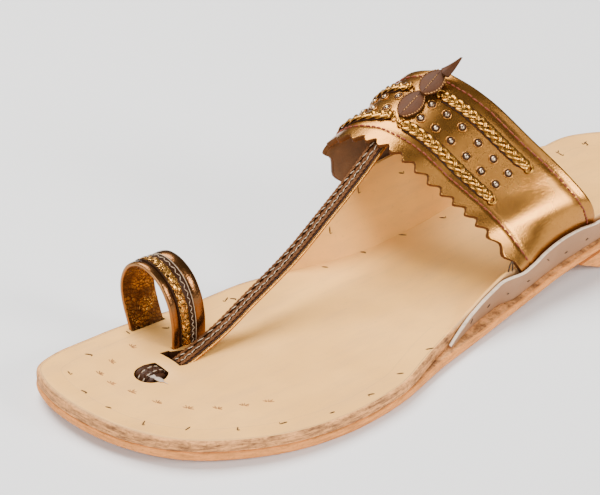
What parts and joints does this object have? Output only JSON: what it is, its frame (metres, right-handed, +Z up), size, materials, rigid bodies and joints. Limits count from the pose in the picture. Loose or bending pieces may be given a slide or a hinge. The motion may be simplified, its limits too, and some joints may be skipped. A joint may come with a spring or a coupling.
{
  "type": "flat sandal",
  "caption": "Left flat leather sandal with a studded, braided instep band, a plaited strap to the toes and a ring for the big toe.",
  "frame": {"origin": "middle of the heel lift's flat underside, on the floor", "axes": "+X from heel to toes, +Y to the little toe side, +Z up from the floor"},
  "size_m": [0.252, 0.0877, 0.075],
  "materials": {
    "sole_leather": "matte",
    "insole_leather": "satin",
    "ear_leather": "satin",
    "bronze_leather": "metallic foil",
    "gold_braid": "metallic foil",
    "silver": "polished",
    "brown_leather": "satin",
    "thong": "matte"
  },
  "bodies": {
    "root": {"outsole": "sole_leather", "heel_lift": "sole_leather", "insole": "insole_leather", "ear_lateral": "ear_leather", "ear_medial": "ear_leather", "upper_straps": "bronze_leather", "toe_ring": "bronze_leather", "braid_lateral_front": "gold_braid", "braid_lateral_back": "gold_braid", "braid_medial_front": "gold_braid", "braid_medial_back": "gold_braid", "stud_back_1": "silver", "stud_back_2": "silver", "stud_back_3": "silver", "stud_back_4": "silver", "stud_back_5": "silver", "stud_back_6": "silver", "stud_front_1": "silver", "stud_front_2": "silver", "stud_front_3": "silver", "stud_front_4": "silver", "stud_front_5": "silver", "stud_front_6": "silver", "stud_medial_back_1": "silver", "stud_medial_back_2": "silver", "stud_medial_back_3": "silver", "stud_medial_front_1": "silver", "stud_medial_front_2": "silver", "stud_medial_front_3": "silver", "leaf_front": "brown_leather", "leaf_back": "brown_leather", "leaf_tip": "brown_leather", "strap_loop": "brown_leather", "thong_peg": "thong"}
  },
  "joints": []
}
